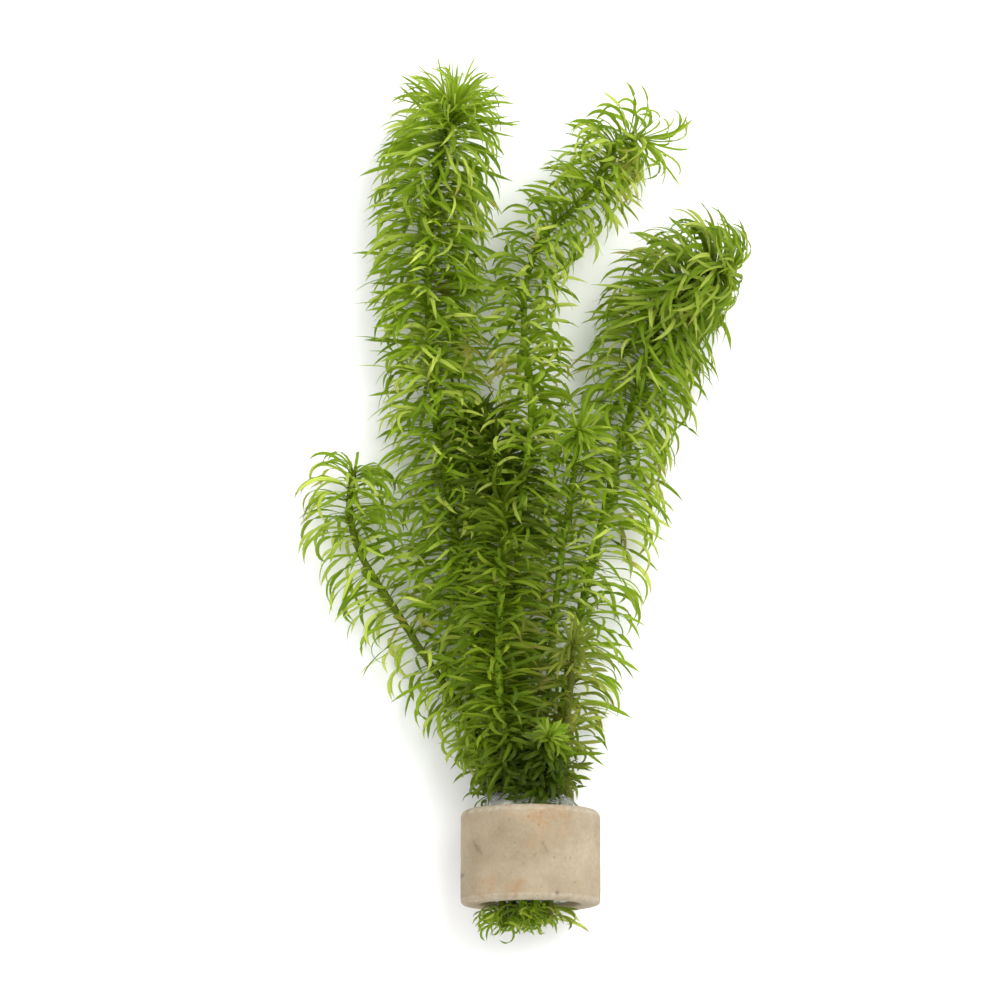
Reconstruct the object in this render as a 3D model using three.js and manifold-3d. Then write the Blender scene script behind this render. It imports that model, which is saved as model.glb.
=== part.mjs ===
import * as THREE from 'three';
import { mergeVertices } from 'three/addons/utils/BufferGeometryUtils.js';
import Module from 'manifold-3d';

// A bunch of slender-leaved waterweed, pushed through a fired-clay ring and lying on its side.
// Millimetres, +Z up. The ring's axis and the shoots run along +Y, and X is across the bunch.
// Routes are given from the middle of the ring's lower end, at the height of the surface.

const wasm = await Module();
wasm.setup();

// Driving dimensions, in millimetres

const ring = { outerRadius: 19, boreRadius: 13, length: 25.4, sides: 32 };
const ringEdge = { upper: 2, lower: 1.2, bore: 1 };
const packing = { radius: 12.55, low: 1.5, high: 27.4, shoulder: 1.8, sides: 20 };
const joint = { gap: 0.35, holeSides: 6, holeSteps: 4, holeOverrun: 4 };
const surfaceGap = 0.2;

// Leaves stand in whorls, each turned against the next by a part of the angle between two leaves. The
// first stands just above the cut, none stands in the holder and the last keeps some room to the tip.
const whorl = { leaves: 5, stagger: 0.25, first: 0.9, holderRoom: 1.3, tipRoom: 0.8, atTip: 0.75 };

// Whorls below the holder are close together, with shorter leaves that bend back at the tip. Just above
// it the holder gathers the leaves: their angles and lengths start at a part of the full value, over so
// much length of stem.
const tail = { apart: 1.7, leaf: 0.62, tip: 145, below: -0.6 };
const gather = { over: 30, angle: 0.72, leaf: 0.62 };

// One whorl in about every one and a half is solid, with a foot that is one side of the stem
const solidWhorl = { foot: 1.4, joinBelow: 2, thinning: 1.5, closest: 2.4, bareStem: 12, longestBare: 18 };

// A blade is widest at its middle
const blade = { width: 2.2, thickness: 0.15, steps: 12, sunkFoot: 0.8 };

// A leaf levels out as it nears the surface and creeps forward along it. One on the stem's upper side
// leans over to the left or to the right.
const landing = { height: 4, creep: 0.05 };
const upperSide = { lean: 1.1, left: 0.5 };

// How far leaves differ: angles in degrees, length and sideways bend as shares, and how flat each lies
const variety = { azimuth: 17, foot: 12, tip: 27, twist: 45, length: 0.16, bend: 0.42, leastFlat: 0.3 };

// Where a leaf doesn't fit beside the others it is turned by so many degrees, or made shorter
const tries = { shares: [1, 0.8, 0.6, 0.4], turns: [0, 12, -12, 24, -24], narrowest: 0.3, fold: 3 };
const clearance = { sample: 0.7, blade: 0.3, neighbour: 0.7, sibling: 0.5, footRoom: 2.2, cell: 2.5, same: 1e-5 };

// Shoots: the stem's route and its radius at the cut and at the tip. The distance between whorls, the
// length of a leaf and its angle from the growing direction, at its foot and at its tip, run from the
// value low on the shoot to the value high on it. Bud gives those angles for the leaves at the very tip,
// youngest their part of the full length, and head is the length of stem over which they open.

const shoots = {
  shoot_tall_left: {
    colour: 0x5d861c,
    route: [
      [-4, -5, 14], [-5.5, 6, 14], [-6, 20, 14], [-6.3, 29, 14], [-9.6, 42.7, 13], [-12.5, 59.3, 12],
      [-15.8, 78.6, 12], [-19.1, 95.1, 12], [-22.4, 114.5, 12], [-25.5, 131.3, 12], [-27.1, 150.6, 13],
      [-28, 167.2, 14], [-27.7, 183.7, 15.5], [-26.1, 198.6, 17.3], [-24.2, 207, 20],
      [-22.5, 213.4, 23.4], [-20.8, 219.8, 27],
    ],
    radius: [1.2, 1], whorls: [2.7, 1.9], leaf: [14, 20], foot: [85, 78], tip: [115, 125],
    bud: [10, 35], youngest: 0.7, head: 16, seed: 11,
  },
  shoot_middle: {
    colour: 0x648d22,
    route: [
      [-1, -3, 12], [-0.3, 6, 11.5], [-0.2, 20, 11], [-0.6, 29.3, 11], [-2.2, 45.7, 11], [-3.3, 62.2, 11],
      [-3.6, 81.5, 11], [-3.3, 97.2, 16], [-2.8, 108.4, 23], [-1.1, 119.8, 26], [0.2, 131.7, 24],
      [0, 143.6, 20], [-1.3, 155.6, 16], [-1.6, 167.2, 14], [0.3, 177.1, 14], [4.2, 185.3, 15],
      [11.1, 191.4, 17], [17.2, 197.6, 18], [20.2, 204.2, 18], [22.2, 208.6, 18], [24.9, 211.4, 18],
      [28.3, 212.4, 18], [31.6, 211.2, 18],
    ],
    radius: [1, 0.8], whorls: [3.9, 2.6], leaf: [12, 15.5], foot: [85, 75], tip: [130, 130],
    bud: [12, 22], youngest: 1.1, head: 5, seed: 23,
  },
  shoot_tall_right: {
    colour: 0x6a9425,
    route: [
      [4, -4, 14], [4.4, 6, 13.5], [4.6, 20, 13], [4.8, 29.1, 13], [7, 41.5, 12], [9.2, 56.6, 11.5],
      [12, 73.1, 11.5], [15.3, 86.8, 12], [18.6, 100.7, 12], [21.9, 114.5, 12], [25.2, 128.4, 12.5],
      [29.4, 140.8, 13], [32.7, 153.8, 14], [35.6, 162, 16], [39.4, 168.2, 19], [44.2, 172.2, 21.5],
      [49.4, 173.6, 23], [54.2, 172.6, 23.5],
    ],
    radius: [1.35, 1.05], whorls: [4.3, 1.7], leaf: [17, 22], foot: [80, 72], tip: [110, 165],
    bud: [40, 160], youngest: 0.6, head: 6, seed: 37,
  },
  shoot_low_left: {
    colour: 0x6e9626,
    route: [
      [-7, -6, 18], [-8, 6, 19], [-8.6, 20, 19], [-9, 28.4, 19], [-12.5, 39.5, 17], [-16.9, 50.2, 14.5],
      [-21.8, 58.6, 13], [-27, 66.1, 12.5], [-32.4, 74.4, 12.5], [-37.9, 83.2, 12.5], [-42.8, 90.3, 13],
      [-46.9, 98.2, 13.5], [-49.2, 107.3, 14], [-48.9, 114.8, 15], [-47.5, 120.3, 17],
    ],
    radius: [1.05, 0.95], whorls: [7.6, 2.3], leaf: [15, 17], foot: [80, 70], tip: [130, 140],
    bud: [50, 135], youngest: 0.4, head: 6, seed: 41,
  },
  shoot_front: {
    colour: 0x3d5f12,
    route: [
      [-2, -3, 24], [-2.4, 6, 25.5], [-2.6, 20, 26], [-2.8, 27.5, 26], [-6, 40.9, 27.5], [-8.2, 54.3, 28],
      [-8.5, 70.6, 28], [-7.7, 87, 28], [-7.1, 103.8, 26], [-8.2, 118.8, 19], [-11.8, 127.9, 15],
      [-15.3, 133.4, 14],
    ],
    radius: [1.2, 1], whorls: [3.6, 2.6], leaf: [13, 13], foot: [85, 80], tip: [100, 90],
    bud: [25, 50], youngest: 0.4, head: 8, seed: 53,
  },
  shoot_short_right: {
    colour: 0x6b7a2a,
    route: [
      [5, -4, 23], [5.4, 6, 24], [5.6, 20, 24], [5.8, 27.8, 24], [7.9, 38.5, 25], [9.8, 49.2, 26],
      [10.9, 59.8, 28], [11.1, 66.6, 33], [11.1, 69.3, 37],
    ],
    radius: [1.1, 0.9], whorls: [3.8, 2.4], leaf: [12, 12], foot: [80, 75], tip: [100, 90],
    bud: [40, 85], youngest: 0.4, head: 8, seed: 67,
  },
  shoot_short_front: {
    colour: 0x6c9a2c,
    route: [
      [1.5, -2.6, 27], [1.8, 6, 27.8], [1.9, 20, 28], [2, 27.3, 28], [3.1, 34.6, 30], [4.1, 40, 34],
      [5.1, 43.8, 40],
    ],
    radius: [1, 0.85], whorls: [2.6, 1.8], leaf: [9, 9], foot: [80, 75], tip: [105, 95],
    bud: [35, 80], youngest: 0.4, head: 7, seed: 71,
  },
  shoot_back: {
    colour: 0x557c1d,
    route: [
      [1, -5, 17], [1.6, 6, 17], [1.9, 20, 17], [2.1, 28.6, 17], [3.4, 44.9, 17], [5.1, 61.3, 17],
      [6.5, 77.8, 17], [8.4, 94.3, 17], [10.9, 110.9, 17], [12.8, 123, 19], [13, 127.5, 23],
      [13.2, 128.6, 29],
    ],
    radius: [1.1, 0.9], whorls: [3.6, 2.8], leaf: [12, 13], foot: [80, 75], tip: [105, 95],
    bud: [35, 80], youngest: 0.4, head: 8, seed: 83,
  },
};

const ringAxisHeight = ring.outerRadius * Math.cos(Math.PI / ring.sides);
const toRadians = Math.PI / 180;
const { lerp, smoothstep } = THREE.MathUtils;

// Repeatable numbers: from 0 to 1, and from -amount to amount

function chance(...keys) {
  let state = 2166136261;
  for (const key of keys) {
    state = Math.imul(state ^ key, 16777619);
    state ^= state >>> 13;
    state = Math.imul(state, 1540483477);
    state ^= state >>> 15;
  }
  return (state >>> 0) / 4294967296;
}

function sway(amount, ...keys) {
  return amount * (2 * chance(...keys) - 1);
}

// A stem's route as closely spaced places: point, direction of growth and two directions across it

function tracePath(route) {
  const stepsPerSpan = 10;
  const corners = route.map((corner) => new THREE.Vector3(...corner));
  const curve = new THREE.CatmullRomCurve3(corners, false, 'catmullrom', 0.5);
  const points = curve.getPoints((route.length - 1) * stepsPerSpan);
  const places = [];
  let across = new THREE.Vector3(1, 0, 0);
  let length = 0;
  points.forEach((point, index) => {
    const before = points[Math.max(index - 1, 0)];
    const after = points[Math.min(index + 1, points.length - 1)];
    const along = after.clone().sub(before).normalize();
    across = across.clone().addScaledVector(along, -across.dot(along)).normalize();
    if (index > 0) length += point.distanceTo(before);
    places.push({ point, along, across, length });
  });
  return places;
}

function placeAt(path, length) {
  let next = path.findIndex((place) => place.length > length);
  if (next < 1) next = next === 0 ? 1 : path.length - 1;
  const [low, high] = [path[next - 1], path[next]];
  const share = (length - low.length) / (high.length - low.length);
  const point = low.point.clone().lerp(high.point, share);
  const along = low.along.clone().lerp(high.along, share).normalize();
  const across = low.across.clone().lerp(high.across, share);
  across.addScaledVector(along, -across.dot(along)).normalize();
  return { point, along, across, side: along.clone().cross(across), length };
}

// Where the whorls stand: none between the two ends of the packing, closer together towards the tip

function whorlPlaces(shoot, path) {
  const total = path.at(-1).length;
  const out = path.find((place) => place.point.y > packing.high + whorl.holderRoom).length;
  const places = [];
  let index = 0;
  let length = whorl.first;
  while (length < total - whorl.tipRoom) {
    const place = placeAt(path, length);
    const fromTip = total - length;
    const share = Math.max(0, (length - out) / (total - out));
    const inTail = length < out;
    const free = smoothstep(length - out, 0, gather.over);
    const ripe = smoothstep(fromTip, 0, shoot.head);
    const apart = inTail ? tail.apart : lerp(whorl.atTip, lerp(...shoot.whorls, share), ripe);
    const inHolder = inTail && place.point.y > tail.below;
    if (!inHolder) places.push({ ...place, index, share, ripe, apart, inTail, free });
    length += apart;
    if (inHolder) length = Math.max(length, out);
    index += 1;
  }
  return places;
}

// A leaf's midrib, from the stem outwards: its direction turns from the foot angle to the tip angle.
// Close to the surface it levels out and runs along it.

function growLeaf(shoot, place, number, turn, shorten) {
  const key = [shoot.seed, place.index, number];
  const stagger = place.index % 2 ? whorl.stagger : -whorl.stagger;
  const azimuth = (number + stagger) * 2 * Math.PI / whorl.leaves
    + (sway(variety.azimuth, ...key, 1) + turn) * toRadians;
  const out = place.across.clone().multiplyScalar(Math.cos(azimuth))
    .addScaledVector(place.side, Math.sin(azimuth));
  const blend = (low, high) => lerp(low, high, place.share);
  const spread = place.inTail ? 1 : lerp(gather.angle, 1, place.free);
  const size = place.inTail ? tail.leaf : lerp(gather.leaf, 1, place.free);
  const foot = lerp(shoot.bud[0], blend(...shoot.foot) * spread, place.ripe)
    + sway(variety.foot, ...key, 2);
  const openTip = place.inTail ? tail.tip : blend(...shoot.tip) * spread;
  const tip = lerp(shoot.bud[1], openTip, place.ripe) + sway(variety.tip, ...key, 3);
  const lean = chance(...key, 14) < upperSide.left ? upperSide.lean : -upperSide.lean;
  const bend = sway(variety.bend, ...key, 4) + lean * Math.max(0, out.z);
  const grown = lerp(shoot.youngest, 1, Math.sqrt(place.ripe));
  const length = blend(...shoot.leaf) * size * grown * (1 + sway(variety.length, ...key, 5)) * shorten;
  const twist = sway(variety.twist, ...key, 6) * toRadians;
  const lie = lerp(variety.leastFlat, 1, chance(...key, 7));
  const across = out.clone().cross(place.along).negate();
  const step = length / blade.steps;
  const start = stemRadius(shoot, place.share) * blade.sunkFoot;
  const point = place.point.clone().addScaledVector(out, start);
  const midrib = [{ point: point.clone(), side: across.clone() }];
  for (let index = 1; index <= blade.steps; index++) {
    const reach = index / blade.steps;
    const angle = lerp(foot, tip, reach * Math.sqrt(reach)) * toRadians;
    const direction = place.along.clone().multiplyScalar(Math.cos(angle))
      .addScaledVector(out, Math.sin(angle))
      .addScaledVector(across, bend * reach).normalize();
    if (direction.z < 0) {
      const room = Math.max(0, point.z - surfaceGap);
      direction.z *= Math.min(1, room / landing.height);
      direction.addScaledVector(place.along, landing.creep).normalize();
    }
    point.addScaledVector(direction, step);
    point.z = Math.max(point.z, surfaceGap);
    const flat = new THREE.Vector3(-direction.y, direction.x, 0);
    if (flat.dot(across) < 0) flat.negate();
    const side = across.clone().lerp(flat, lie * Math.min(1, 2 * reach));
    side.addScaledVector(direction, -side.dot(direction)).normalize();
    side.applyAxisAngle(direction, twist * reach);
    midrib.push({ point: point.clone(), side, direction });
  }
  return midrib;
}

function stemRadius(shoot, share) {
  return lerp(...shoot.radius, share);
}

// Space already taken, as small balls in a grid of cells. A new leaf keeps clear of all of them.

const taken = new Map();

function cellOf(point, dx = 0, dy = 0, dz = 0) {
  const [x, y, z] = [point.x, point.y, point.z].map((value) => Math.floor(value / clearance.cell) + 100);
  return ((x + dx) * 1000 + y + dy) * 1000 + z + dz;
}

function take(balls) {
  for (const ball of balls) {
    const key = cellOf(ball.point);
    if (!taken.has(key)) taken.set(key, []);
    taken.get(key).push(ball);
  }
}

function touches(ball) {
  for (let dx = -1; dx <= 1; dx++) {
    for (let dy = -1; dy <= 1; dy++) {
      for (let dz = -1; dz <= 1; dz++) {
        for (const other of taken.get(cellOf(ball.point, dx, dy, dz)) ?? []) {
          const sibling = other.owner === ball.owner;
          if (sibling && (ball.nearFoot || other.nearFoot)) continue;
          const room = sibling ? clearance.sibling : clearance.neighbour;
          if (other.point.distanceTo(ball.point) < other.radius + ball.radius + room) return true;
        }
      }
    }
  }
  return false;
}

function inHolder(point) {
  const fromAxis = Math.hypot(point.x, point.z - ringAxisHeight);
  const inRing = point.y > -joint.gap && point.y < ring.length + joint.gap
    && fromAxis < ring.outerRadius + joint.gap;
  const inPacking = point.y > packing.low - joint.gap && point.y < packing.high + joint.gap
    && fromAxis < packing.radius + joint.gap;
  return inRing || inPacking;
}

// A solid leaf is a kite, folded across its middle. One face runs straight from the foot to the tip,
// under the fold where the leaf bends down and over it where the leaf bends up.

function leafCorners(midrib, [a, b, c, d]) {
  const { point, side } = midrib[blade.steps / 2];
  const tip = midrib.at(-1).point.clone();
  const left = point.clone().addScaledVector(side, -blade.width / 2);
  const right = point.clone().addScaledVector(side, blade.width / 2);
  const below = new THREE.Plane().setFromCoplanarPoints(a, tip, b);
  const above = new THREE.Plane().setFromCoplanarPoints(c, tip, d);
  const overLow = Math.min(below.distanceToPoint(left), below.distanceToPoint(right));
  const underHigh = Math.min(above.distanceToPoint(left), above.distanceToPoint(right));
  const foldUp = overLow >= underHigh;
  const straight = foldUp ? below : above;
  const bend = Math.max(overLow, underHigh);
  const lift = Math.max(0, blade.thickness - bend);
  const narrowing = Math.min(tries.narrowest, Math.max(0, bend) / blade.width / tries.fold);
  const centre = left.clone().lerp(right, 0.5);
  for (const corner of [left, right]) {
    corner.lerp(centre, narrowing).addScaledVector(straight.normal, lift);
    corner.z = Math.max(corner.z, surfaceGap / 2);
  }
  return { left, right, tip, foldUp };
}

function leafBalls(owner, foot, corners) {
  const { left, right, tip } = corners;
  const middle = left.clone().lerp(right, 0.5);
  const lines = [left, middle, right].flatMap((point) => [[foot, point], [point, tip]]);
  lines.push([foot, tip]);
  const balls = [];
  for (const [from, to] of lines) {
    const count = Math.ceil(from.distanceTo(to) / clearance.sample);
    for (let index = 1; index <= count; index++) {
      const point = from.clone().lerp(to, index / count);
      const nearFoot = point.distanceTo(foot) < clearance.footRoom;
      balls.push({ owner, point, radius: clearance.blade, nearFoot });
    }
  }
  return balls;
}

// The triangles of a leaf, each as its three corners: a, b, c and d are those of the foot

function leafFaces({ left, right, tip, foldUp }, [a, b, c, d]) {
  return foldUp
    ? [[a, b, tip], [b, right, tip], [b, c, right], [c, d, left], [c, left, right], [right, left, tip],
      [d, a, left], [a, tip, left]]
    : [[c, d, tip], [d, left, tip], [d, a, left], [a, b, right], [a, right, left], [left, right, tip],
      [b, c, right], [c, tip, right]];
}

function edgeMeets(one, [a, b, c]) {
  return one.some((from, index) => {
    const to = one[(index + 1) % 3];
    const reach = from.distanceTo(to);
    const ray = new THREE.Ray(from, to.clone().sub(from).divideScalar(reach));
    const hit = ray.intersectTriangle(a, b, c, false, new THREE.Vector3());
    return hit !== null && hit.distanceTo(from) < reach;
  });
}

// Whether two triangles cross. Two that have a corner in common are neighbours, and don't.

function cross(one, other) {
  const joined = one.some((corner) => other.some((next) => corner.distanceTo(next) < clearance.same));
  return !joined && (edgeMeets(one, other) || edgeMeets(other, one));
}

function boxOf(points) {
  return new THREE.Box3().setFromPoints(points);
}

// The widest-reaching form of a leaf that fits beside what is already there, or none. Own is the list of
// the shoot's own triangles so far.

function fitLeaf(owner, shoot, place, number, footCorners, own) {
  const foot = footCorners.reduce((sum, corner) => sum.add(corner), new THREE.Vector3()).divideScalar(4);
  for (const share of tries.shares) {
    for (const turn of tries.turns) {
      const midrib = growLeaf(shoot, place, number, turn, share);
      const corners = leafCorners(midrib, footCorners);
      const balls = leafBalls(owner, foot, corners);
      if (balls.some((ball) => inHolder(ball.point) || touches(ball))) continue;
      const faces = leafFaces(corners, footCorners);
      const box = boxOf(faces.flat());
      const near = own.filter((face) => boxOf(face).intersectsBox(box));
      if (faces.some((face) => [...near, ...faces].some((other) => cross(face, other)))) continue;
      take(balls);
      own.push(...faces);
      return corners;
    }
  }
  return null;
}

// One shoot: a many-sided stem with a band of leaves at each whorl

function solidWhorls(shoot, path) {
  const chosen = [];
  let last = -Infinity;
  for (const place of whorlPlaces(shoot, path)) {
    const apart = Math.max(solidWhorl.closest, place.apart * solidWhorl.thinning);
    if (place.length - last < apart) continue;
    chosen.push(place);
    last = place.length;
  }
  return chosen;
}

function stemSections(shoot, path) {
  const { foot, joinBelow, bareStem, longestBare } = solidWhorl;
  const total = path.at(-1).length;
  const sections = [{ length: 0 }];
  const places = solidWhorls(shoot, path);
  places.forEach((place, index) => {
    let last = sections.at(-1).length;
    const low = place.length - foot / 2;
    while (low - last > longestBare) {
      last += bareStem;
      sections.push({ length: last });
    }
    sections.push({ length: low, whorl: place });
    const nextLow = (places[index + 1]?.length ?? total) - foot / 2;
    const joined = nextLow - (low + foot) < joinBelow;
    if (!joined || index === places.length - 1) sections.push({ length: low + foot });
  });
  return { sections, total };
}

function buildShoot(name, shoot) {
  const path = tracePath(shoot.route);
  const { sections, total } = stemSections(shoot, path);
  const sides = whorl.leaves;
  const positions = [];
  const triangles = [];
  const addPoint = (point) => positions.push(point.x, point.y, point.z) / 3 - 1;
  const corner = (index) => new THREE.Vector3().fromArray(positions, index * 3);
  const rows = sections.map(({ length }) => {
    const place = placeAt(path, length);
    const radius = stemRadius(shoot, length / total);
    return Array.from({ length: sides }, (_, side) => {
      const azimuth = (side - 0.5) * 2 * Math.PI / sides;
      return addPoint(place.point.clone()
        .addScaledVector(place.across, radius * Math.cos(azimuth))
        .addScaledVector(place.side, radius * Math.sin(azimuth)));
    });
  });
  for (let side = 1; side < sides - 1; side++) {
    triangles.push(rows[0][0], rows[0][side + 1], rows[0][side]);
  }
  const stemTip = addPoint(path.at(-1).point);
  for (let side = 0; side < sides; side++) {
    triangles.push(rows.at(-1)[side], rows.at(-1)[(side + 1) % sides], stemTip);
  }
  const own = [];
  for (let index = 0; index < triangles.length; index += 3) {
    own.push(triangles.slice(index, index + 3).map(corner));
  }
  rows.slice(1).forEach((row, index) => row.forEach((_, side) => {
    const [a, b] = [rows[index][side], rows[index][(side + 1) % sides]].map(corner);
    const [c, d] = [row[(side + 1) % sides], row[side]].map(corner);
    own.push([a, b, c], [a, c, d]);
  }));
  for (let row = 0; row < rows.length - 1; row++) {
    for (let side = 0; side < sides; side++) {
      const next = (side + 1) % sides;
      const [a, b, c, d] = [rows[row][side], rows[row][next], rows[row + 1][next], rows[row + 1][side]];
      const place = sections[row].whorl;
      const leaf = place ? fitLeaf(name, shoot, place, side, [a, b, c, d].map(corner), own) : null;
      if (!leaf) {
        triangles.push(a, b, c, a, c, d);
        continue;
      }
      const left = addPoint(leaf.left);
      const right = addPoint(leaf.right);
      const tip = addPoint(leaf.tip);
      triangles.push(...leafFaces({ left, right, tip, foldUp: leaf.foldUp }, [a, b, c, d]).flat());
    }
  }
  const geometry = new THREE.BufferGeometry();
  geometry.setAttribute('position', new THREE.Float32BufferAttribute(positions, 3));
  geometry.setIndex(triangles);
  return geometry;
}

// The clay ring: a rounded rectangle turned about the axis, with a flat side down

function roundedProfile() {
  const { outerRadius, boreRadius, length } = ring;
  const { upper, lower, bore } = ringEdge;
  const corners = [
    [outerRadius - lower, lower, lower, -90],
    [outerRadius - upper, length - upper, upper, 0],
    [boreRadius + bore, length - bore, bore, 90],
    [boreRadius + bore, bore, bore, 180],
  ];
  const profile = [];
  for (const [x, y, radius, start] of corners) {
    const pieces = radius === bore ? 1 : 2;
    for (let piece = 0; piece <= pieces; piece++) {
      const angle = (start + piece * 90 / pieces) * toRadians;
      profile.push(new THREE.Vector2(x + radius * Math.cos(angle), y + radius * Math.sin(angle)));
    }
  }
  profile.push(profile[0].clone());
  return profile;
}

function turned(profile, sides) {
  return new THREE.LatheGeometry(profile, sides, Math.PI / sides).translate(0, 0, ringAxisHeight);
}

// Solids for cutting

function toSolid(geometry) {
  const bare = geometry.clone();
  bare.deleteAttribute('normal');
  bare.deleteAttribute('uv');
  const merged = mergeVertices(bare, 1e-4);
  return new wasm.Manifold(new wasm.Mesh({
    numProp: 3,
    vertProperties: new Float32Array(merged.attributes.position.array),
    triVerts: new Uint32Array(merged.index.array),
  }));
}

function fromSolid(solid) {
  const mesh = solid.getMesh();
  const geometry = new THREE.BufferGeometry();
  geometry.setAttribute('position', new THREE.BufferAttribute(new Float32Array(mesh.vertProperties), 3));
  geometry.setIndex(new THREE.BufferAttribute(new Uint32Array(mesh.triVerts), 1));
  return geometry;
}

// The packing: a soft plug with a channel for every stem

function stemChannel(shoot) {
  const path = tracePath(shoot.route);
  const [low, high] = [packing.low - joint.holeOverrun, packing.high + joint.holeOverrun];
  const points = path.map(({ point }) => point).filter(({ y }) => y > low && y < high);
  const outline = new THREE.Shape();
  const reach = (shoot.radius[0] + joint.gap) / Math.cos(Math.PI / joint.holeSides);
  for (let side = 0; side < joint.holeSides; side++) {
    const angle = side * 2 * Math.PI / joint.holeSides;
    outline[side ? 'lineTo' : 'moveTo'](reach * Math.cos(angle), reach * Math.sin(angle));
  }
  return new THREE.ExtrudeGeometry(outline, {
    steps: joint.holeSteps, extrudePath: new THREE.CatmullRomCurve3(points), bevelEnabled: false,
  });
}

function packingPlug() {
  const { radius, low, high, shoulder, sides } = packing;
  const profile = [[0, low], [radius - shoulder, low], [radius, low + shoulder], [radius, high - shoulder],
    [radius - shoulder, high], [0, high]].map(([x, y]) => new THREE.Vector2(x, y));
  let plug = toSolid(turned(profile, sides));
  for (const shoot of Object.values(shoots)) plug = plug.subtract(toSolid(stemChannel(shoot)));
  return fromSolid(plug);
}

// Assembly, with its origin below the middle of the whole

function piece(name, geometry, colour, roughness) {
  const mesh = new THREE.Mesh(geometry, new THREE.MeshStandardMaterial({ color: colour, roughness }));
  mesh.name = name;
  return mesh;
}

function stemBalls(owner, shoot) {
  const path = tracePath(shoot.route);
  const total = path.at(-1).length;
  return path.map(({ point, length }) => (
    { owner, point, radius: stemRadius(shoot, length / total), nearFoot: true }));
}

const group = new THREE.Group();
group.add(piece('clay_ring', turned(roundedProfile(), ring.sides), 0xb9a587, 0.85));
group.add(piece('wool_packing', packingPlug(), 0xb7b8b0, 1));
for (const [name, shoot] of Object.entries(shoots)) take(stemBalls(name, shoot));
for (const [name, shoot] of Object.entries(shoots)) {
  group.add(piece(name, buildShoot(name, shoot), shoot.colour, 0.5));
}
const bounds = new THREE.Box3().setFromObject(group);
const middle = bounds.getCenter(new THREE.Vector3());
group.position.set(-middle.x, -middle.y, -bounds.min.z);
group.updateMatrixWorld(true);

export default group;
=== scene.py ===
import math

import bpy
import numpy as np
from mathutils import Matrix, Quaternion, Vector, noise


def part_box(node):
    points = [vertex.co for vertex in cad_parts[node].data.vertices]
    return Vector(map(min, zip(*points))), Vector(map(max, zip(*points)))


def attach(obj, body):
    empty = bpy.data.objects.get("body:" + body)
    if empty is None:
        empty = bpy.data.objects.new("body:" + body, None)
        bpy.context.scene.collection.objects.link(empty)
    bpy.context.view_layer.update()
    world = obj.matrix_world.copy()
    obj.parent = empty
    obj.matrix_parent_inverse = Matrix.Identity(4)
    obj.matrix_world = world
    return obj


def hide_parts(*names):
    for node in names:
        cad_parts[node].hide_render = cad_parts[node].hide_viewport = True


# A bunch of slender-leaved waterweed in a fired-clay ring, lying on its side on a pale floor.
# Every shoot follows the route of its solid and grows leaves by the same rule, here all of them.
# Lengths are in millimetres from the middle of the ring's lower end, unless a name ends in _m.

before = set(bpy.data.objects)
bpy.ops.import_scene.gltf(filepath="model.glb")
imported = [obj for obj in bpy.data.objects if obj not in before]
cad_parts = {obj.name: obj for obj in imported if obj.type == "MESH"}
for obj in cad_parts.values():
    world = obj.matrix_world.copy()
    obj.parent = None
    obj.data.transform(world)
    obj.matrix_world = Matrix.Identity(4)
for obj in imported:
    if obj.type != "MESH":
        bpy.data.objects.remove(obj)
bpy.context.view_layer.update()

MM = 0.001
ring_low, ring_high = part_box("clay_ring")
ORIGIN = Vector(((ring_low.x + ring_high.x) / 2, ring_low.y, ring_low.z))

RING = {"radius": 19, "bore": 13, "length": 25.4, "flat_sides": 32}
RING_EDGE = {"upper": 2, "lower": 1.2, "bore": 1}
AXIS_HEIGHT = RING["radius"] * math.cos(math.pi / RING["flat_sides"])
PACKING = {"radius": 12.55, "low": 1.5, "high": 27.4}

WHORL = {"leaves": 5, "stagger": 0.25, "first": 0.9, "holder_room": 1.3, "tip_room": 0.8,
         "at_tip": 0.75}
TAIL = {"apart": 1.7, "leaf": 0.62, "tip": 145, "below": -0.6}
GATHER = {"over": 30, "angle": 0.72, "leaf": 0.62}
BLADE = {"steps": 12, "sunk_foot": 0.8}
CURL = {"share": 0.75, "from": 0.42, "low": 1.6}
# Leaves between the whorls, which the solids leave out: tangled at the holder, loose further up
EXTRA = {"turn": 0.62, "lift": (0.1, 0.9), "loose": 1.5, "tangled": 4, "fold": 75,
         "lean": 1.4, "at_holder": 7, "late": 5, "droop": 50, "open": 110, "mat": (0.72, 0.9)}
# No leaf reaches past these
HIGHEST = 45.2
FARTHEST_RIGHT = 60.6
# Painted shade: leaves in the thick of the bunch are darkened, as if shaded by the leaves around them
PAINTED_SHADE = {"middle": -1, "width": 12, "dark_from": -14, "dark_to": 95, "ends_at": 140, "low": (30, 56),
         "lowest": 4, "top": (0.5, 0.85)}
LANDING = {"height": 4, "creep": 0.05, "gap": 0.2}
UPPER_SIDE = {"lean": 1.1, "left": 0.5}
VARIETY = {"azimuth": 17, "foot": 12, "tip": 27, "twist": 45, "length": 0.16, "bend": 0.42,
           "least_flat": 0.3}

# What the solids leave out: the blade's toothed outline and the stem's thicker nodes
LEAF = {"width": 1.02, "sections": 14, "thickness": 0.14, "thin_edge": 0.03, "channel": 0.25,
        "tooth": 0.07, "wave": 0.15, "foot_share": 0.85, "taper_from": 0.72, "in_tail": 0.75,
        "width_varies": 0.2, "youngest_width": 0.45}
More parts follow.
